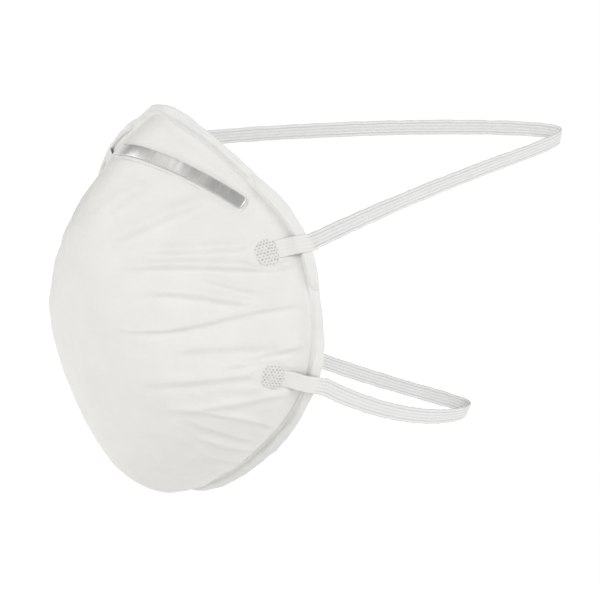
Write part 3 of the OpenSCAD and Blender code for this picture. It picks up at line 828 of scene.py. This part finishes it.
def half_strap(strap, tuck=0.0):
    """Rows of point and width direction from the left weld spot to the middle of the loop. The
    band turns over the rim tuck mm further in than in the CAD."""
    (s0, u0), (tail_s, tail_u) = strap["weld"], WELD_TAIL
    low_u = mix(u0, strap["rim_at"], LEAVES_COVER_SHARE)
    s = np.linspace(s0 + tail_s, LEAVES_COVER, LAID_KEYS)
    u = np.interp(s, [LEAVES_COVER, s0, s0 + tail_s], [low_u, u0, u0 + tail_u])
    sunk = ease(s, s0 - SINK_STARTS, s0 - SINK_ENDS)
    lift = mix(BAND_SUNK, BAND_GAP + BAND_FLAT_T / 2, 1 - sunk)
    laid = cup_skin(s, u, lift)
    face, along = cup_normal(s, u), unit(np.gradient(laid, axis=0))
    rim, leg = over_rim(strap), leg_dir(strap)
    _, out, _, inward = (v[0] for v in rim_frame(np.array([strap["rim_at"]])))
    rim_face = unit(out - inward)
    loop = loop_keys(strap)
    width_laid = facing(unit(np.cross(face, along)), loop[0, 3:])
    width_rim = facing(unit(np.cross(rim_face, leg)), loop[0, 3:])
    rim = rim - tuck * out
    bridge = mix(laid[-1], rim, 0.5) + (BRIDGE_RISE - TUCK_LOWERS * tuck) * rim_face
    rows = [np.hstack([laid, width_laid]),
            [np.concatenate([bridge, unit(width_laid[-1] + width_rim)])],
            [np.concatenate([rim, width_rim])], loop]
    return smooth_path(np.vstack(rows), BAND_STEP)


def whole_strap(strap):
    """Points and width directions of the whole band, from weld spot to weld spot."""
    half, other = half_strap(strap), half_strap(strap, RIGHT_TUCK)[-2::-1]
    path = np.vstack([half, np.hstack([flip(other[:, :3]), flip(other[:, 3:])])])
    return path[:, :3], path[:, 3:]


def band(strap):
    """A ribbed woven band, flat on the cover and round the head, and the facts of its points."""
    p, width = whole_strap(strap)
    along = unit(np.gradient(p, axis=0))
    n = unit(np.cross(along, width))
    width = unit(np.cross(n, along))
    run = np.arange(len(p)) * BAND_STEP
    from_end = np.minimum(run, run[-1] - run)
    x = np.linspace(-1, 1, BAND_ACROSS)
    x = np.sign(x) * (1 - (1 - np.abs(x)) ** BAND_CROWDING)
    rib = np.abs(np.sin(pi * BAND_RIBS * (x + 1) / 2)) ** RIB_ROUND
    which = np.minimum(np.floor((x + 1) / 2 * BAND_RIBS), BAND_RIBS - 1)
    # How far each point across the band lies down in the grooves between the ribs, where the elastic's
    # material paints shade.
    groove_shade = 1 - np.append(rib, rib[-2:0:-1])
    weave = 1 + WEAVE_DEPTH * np.sin(2 * pi * run[:, None] / WEAVE_PITCH + pi * which)
    edge = np.sqrt(np.maximum(0, 1 - np.abs(x) ** BAND_EDGE_ROUND))
    free_t = STRAP_T / 2 * (1 - FREE_RIBS + FREE_RIBS * rib * weave) * edge
    laid_t = BAND_FLAT_T / 2 * (1 - LAID_RIBS + LAID_RIBS * rib * weave) * edge
    half_t = mix(laid_t, free_t, ease(from_end, *FLAT_ENDS)[:, None])
    half_t = mix(BAND_WELD_T / 2 * edge, half_t, ease(from_end, *WELD_ENDS)[:, None])
    ripple = RIPPLE * waves(p, 14, seed=61)[:, None] * ease(from_end, *RIPPLE_STARTS)[:, None]
    a = STRAP_W / 2 * x * (1 + WIDTH_WANDERS * waves(p, 6, seed=62)[:, None])
    top, under = half_t + ripple, -half_t + ripple
    across = np.hstack([a, a[:, -2:0:-1]])
    height = np.hstack([top, under[:, -2:0:-1]])
    rings = p[:, None] + across[..., None] * width[:, None] + height[..., None] * n[:, None]
    verts, faces = swept(rings)
    laid = np.repeat(1 - ease(from_end, *SMOOTH_ENDS), across.shape[1])
    facts = {"laid": np.append(laid, [1, 1]),
             "along": np.append(np.repeat(run, across.shape[1]), [run[0], run[-1]]),
             "across": np.append(across.ravel(), [0, 0]),
             "groove_shade": np.append(np.tile(groove_shade, len(p)), [0, 0])}
    return (verts, faces), facts


# ---- The weld spots ----

SPOT_HALF, SPOT_SQUARENESS, SPOT_STEP, SPOT_WOBBLE = (3.8, 4.5), 2.4, 0.12, 0.06
# Heights over the CAD's cover: of the spot, how much more over the band, of its rim and its back.
SPOT_LIFT, SPOT_OVER_BAND, SPOT_RIM_LIFT, SPOT_BACK_LIFT = 0.20, 0.14, -0.14, -0.3
# Where the spot slopes down and ends, as spot_reach, and where it steps off the band, in mm.
SPOT_RIM, SPOT_END, SPOT_STEPS_OFF = (0.74, 1.0), 1.02, (-0.3, 0.9)
# The pits' pitch in mm, their rows' pitch as a share of it, their size, and how deep each is made.
PIT_PITCH, PIT_ROW_SHARE, PIT_R, PIT_DEPTH, PIT_DEPTHS = 1.05, 0.87, 0.28, 0.30, (0.55, 1.0)
PIT_STRAYS, PIT_ASPECT, PITS_END, PIT_ROWS = 0.05, 0.9, 0.86, range(-5, 6)


def spot_grid(strap):
    """Places over a weld spot in mm along and across the band, and the same as s and u."""
    s0, u0 = strap["weld"]
    to_front = (cup_point(s0 + STEP_S, u0) - cup_point(s0 - STEP_S, u0)) / (2 * STEP_S)
    round_rim = (cup_point(s0, u0 + STEP_U) - cup_point(s0, u0 - STEP_U)) / (2 * STEP_U)
    low_u = mix(u0, strap["rim_at"], LEAVES_COVER_SHARE)
    along = unit(cup_point(LEAVES_COVER, low_u) - cup_point(s0, u0))
    across = unit(np.cross(cup_normal(s0, u0), along))
    a, b = (np.arange(-h, h + SPOT_STEP, SPOT_STEP) for h in SPOT_HALF)
    a, b = np.meshgrid(a, b, indexing="ij")
    move = a[..., None] * along + b[..., None] * across
    steps = move @ np.linalg.pinv(np.stack([to_front, round_rim], 1)).T
    return a, b, s0 + steps[..., 0], u0 + steps[..., 1]


def spot_reach(a, b):
    """0 in the middle of a spot and 1 on its outline."""
    return sum((np.abs(x) / half) ** SPOT_SQUARENESS for x, half in zip((a, b), SPOT_HALF))


def stud_pits(a, b, seed):
    """Depth from 0 to 1 of the staggered pits of the hot tool's studs."""
    rng = np.random.default_rng(seed)
    pit = np.zeros(a.shape)
    for row in PIT_ROWS:
        for column in PIT_ROWS:
            x = (column + 0.5 * (row % 2)) * PIT_PITCH + rng.normal(0, PIT_STRAYS)
            y = row * PIT_PITCH * PIT_ROW_SHARE + rng.normal(0, PIT_STRAYS)
            depth = rng.uniform(*PIT_DEPTHS)
            if spot_reach(x, y) < PITS_END:
                pit = np.maximum(pit, depth * hump(np.hypot((a - x) * PIT_ASPECT, b - y), PIT_R))
    return pit


def weld_spot(strap, side, seed):
    """A spot where the hot tool pressed the band into the cover, and the facts of its points."""
    a, b, s, u = spot_grid(strap)
    pit = stud_pits(a, b, seed)
    inside = spot_reach(a, b) + SPOT_WOBBLE * waves(np.stack([a, b, 0 * a], -1), 5, seed)
    over_band = 1 - ease(np.abs(b) - STRAP_W / 2, *SPOT_STEPS_OFF)
    lift = mix(SPOT_LIFT + SPOT_OVER_BAND * over_band, SPOT_RIM_LIFT, ease(inside, *SPOT_RIM))
    top = cup_skin(s, u, lift - PIT_DEPTH * pit)
    under = cup_skin(s, u, np.full(s.shape, SPOT_BACK_LIFT))
    verts, faces, used = slab(top, under, inside[:-1, :-1] < SPOT_END)
    dark = np.concatenate([pit.ravel(), 0 * pit.ravel()])[used]
    return (verts * (side, 1, 1), faces), {"pit": dark}


# ---- The whole mask ----

def put_on_cup(obj, *nodes):
    if nodes:
        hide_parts(*nodes)
    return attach(obj, "cup")


def build_cup():
    put_on_cup(make_piece("cup_cover", cover(), cover_look()), "outer_cover")
    put_on_cup(make_piece("cup_lining", lining(), lining_look()), "inner_lining")
    put_on_cup(make_piece("sealed_edge", sealed_edge(), sealed_edge_look()),
               "rim_flange")
    put_on_cup(make_piece("nose_strip", nose_strip(), aluminium_look()),
               "nose_clip")
    put_on_cup(make_piece("glue_film", glue_film(), glue_look()), "clip_adhesive")
    pad = make_piece("nose_pad", nose_pad(), foam_look())
    put_on_cup(pad, "nose_foam")
    NODES["filter_web"].data.materials[0] = filter_look()
    NODES["support_shell"].data.materials[0] = felt_look()


def build_straps():
    elastic, spot = elastic_look(), weld_look()
    for name, strap, seed, start, end in (
            ("upper", UPPER, 71, (0, 0.0118, 0.0365), (0, 0.019, 0.0354)),
            ("lower", LOWER, 75, (0, 0.0065, -0.0075), (0, 0.013, -0.0118))):
        shape, facts = band(strap)
        piece = make_piece(name + "_band", shape, elastic, facts)
        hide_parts(name + "_strap", name + "_left_strap_end", name + "_right_strap_end")
        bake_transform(piece)
        for side_name, side in (("left", 1), ("right", -1)):
            shape, facts = weld_spot(strap, side, seed=seed + side)
            put_on_cup(make_piece(f"{name}_{side_name}_weld", shape, spot, facts))


# ---- Camera, lights and floor ----

VIEW_AZIMUTH, VIEW_ELEVATION, VIEW_ROLL = radians(49.79), radians(26.06), radians(-0.33)
VIEW_DISTANCE, AIM_RIGHT, AIM_UP, LENS_MM = 0.7, 0.03835, 0.00132, 129.27
FLOOR_Z, FLOOR_SIZE = -0.4, 12.0


def view_axes():
    back = Vector((sin(VIEW_AZIMUTH) * cos(VIEW_ELEVATION),
                   -cos(VIEW_AZIMUTH) * cos(VIEW_ELEVATION), sin(VIEW_ELEVATION)))
    right = Vector((cos(VIEW_AZIMUTH), sin(VIEW_AZIMUTH), 0))
    up = back.cross(right)
    turned = right * cos(VIEW_ROLL) + up * sin(VIEW_ROLL)
    return turned, up * cos(VIEW_ROLL) - right * sin(VIEW_ROLL), back


def place_camera():
    right, up, back = view_axes()
    camera = bpy.data.objects.new("camera", bpy.data.cameras.new("camera"))
    camera.data.lens, camera.data.sensor_width = LENS_MM, 36
    camera.data.clip_start, camera.data.clip_end = 0.05, 20
    place = Matrix((right, up, back)).transposed().to_4x4()
    place.translation = right * AIM_RIGHT + up * AIM_UP + back * VIEW_DISTANCE
    camera.matrix_world = place
    bpy.context.scene.collection.objects.link(camera)
    bpy.context.scene.camera = camera


# Two large soft boxes, each as [direction, width, strength].
SOFT_BOXES = [((-0.20, -0.75, 0.62), radians(42), 1.35), ((0.75, 0.20, 0.62), radians(42), 1.40)]
SKY_LOW, SKY_HIGH = (0.20, 0.98), (0.50, 0.30)


def sky():
    """A white backdrop up to a little above the horizon, and a dimmer ceiling."""
    world = bpy.data.worlds.new("studio")
    world.use_nodes = True
    nodes, links = world.node_tree.nodes, world.node_tree.links
    direction = nodes.new("ShaderNodeTexCoord").outputs["Generated"]
    height = nodes.new("ShaderNodeSeparateXYZ")
    links.new(direction, height.inputs[0])
    glow = nodes.new("ShaderNodeMapRange")
    glow.interpolation_type = "SMOOTHSTEP"
    for socket, value in zip(("From Min", "To Min", "From Max", "To Max"), SKY_LOW + SKY_HIGH):
        glow.inputs[socket].default_value = value
    links.new(height.outputs["Z"], glow.inputs["Value"])
    links.new(glow.outputs[0], nodes["Background"].inputs["Strength"])
    nodes["Background"].inputs["Color"].default_value = (1, 1, 1, 1)
    bpy.context.scene.world = world


def studio():
    scene = bpy.context.scene
    scene.view_settings.view_transform = "Standard"
    sky()
    for direction, width, power in SOFT_BOXES:
        light = bpy.data.lights.new("soft_box", "SUN")
        light.energy, light.angle = power, width
        lamp = bpy.data.objects.new("soft_box", light)
        lamp.rotation_euler = Vector(direction).to_track_quat("Z", "Y").to_euler()
        scene.collection.objects.link(lamp)
    look = Look("floor", Roughness=0.9, Specular_IOR_Level=0.0, Base_Color=(0.95, 0.95, 0.95, 1),
                Emission_Color=(1, 1, 1, 1), Emission_Strength=0.13)
    corners = [(x, y, FLOOR_Z) for x, y in ((-1, -1), (1, -1), (1, 1), (-1, 1))]
    mesh = bpy.data.meshes.new("floor")
    mesh.from_pydata([(x * FLOOR_SIZE, y * FLOOR_SIZE, z) for x, y, z in corners], [], [(0, 1, 2, 3)])
    mesh.materials.append(look.material)
    floor = bpy.data.objects.new("floor", mesh)
    scene.collection.objects.link(floor)


place_camera()
studio()
build_cup()
build_straps()
